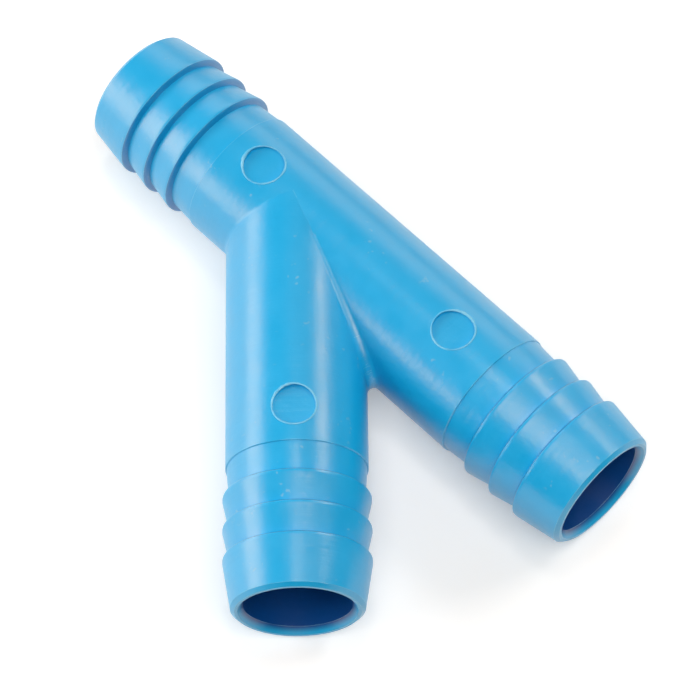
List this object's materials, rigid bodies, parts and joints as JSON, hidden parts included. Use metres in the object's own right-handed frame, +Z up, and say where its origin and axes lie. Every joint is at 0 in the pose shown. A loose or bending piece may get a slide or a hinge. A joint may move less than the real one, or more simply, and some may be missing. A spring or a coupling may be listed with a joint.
{
  "type": "tubing y connector",
  "caption": "One-piece blue plastic Y connector for flexible tubing: a straight run with a barbed tail at each end and an angled barbed branch.",
  "frame": {"origin": "where the axes of the three arms meet, in the middle of the tube's thickness", "axes": "-Y along the branch; the run lies in the XY plane at 44 degrees to it, its long arm towards +X -Y and its short arm towards -X +Y; +Z up, square to the plane of the three arms"},
  "size_m": [0.078, 0.0904, 0.0208],
  "materials": {
    "blue_plastic": "satin moulded plastic"
  },
  "bodies": {
    "root": {"y_connector": "blue_plastic"}
  },
  "joints": []
}
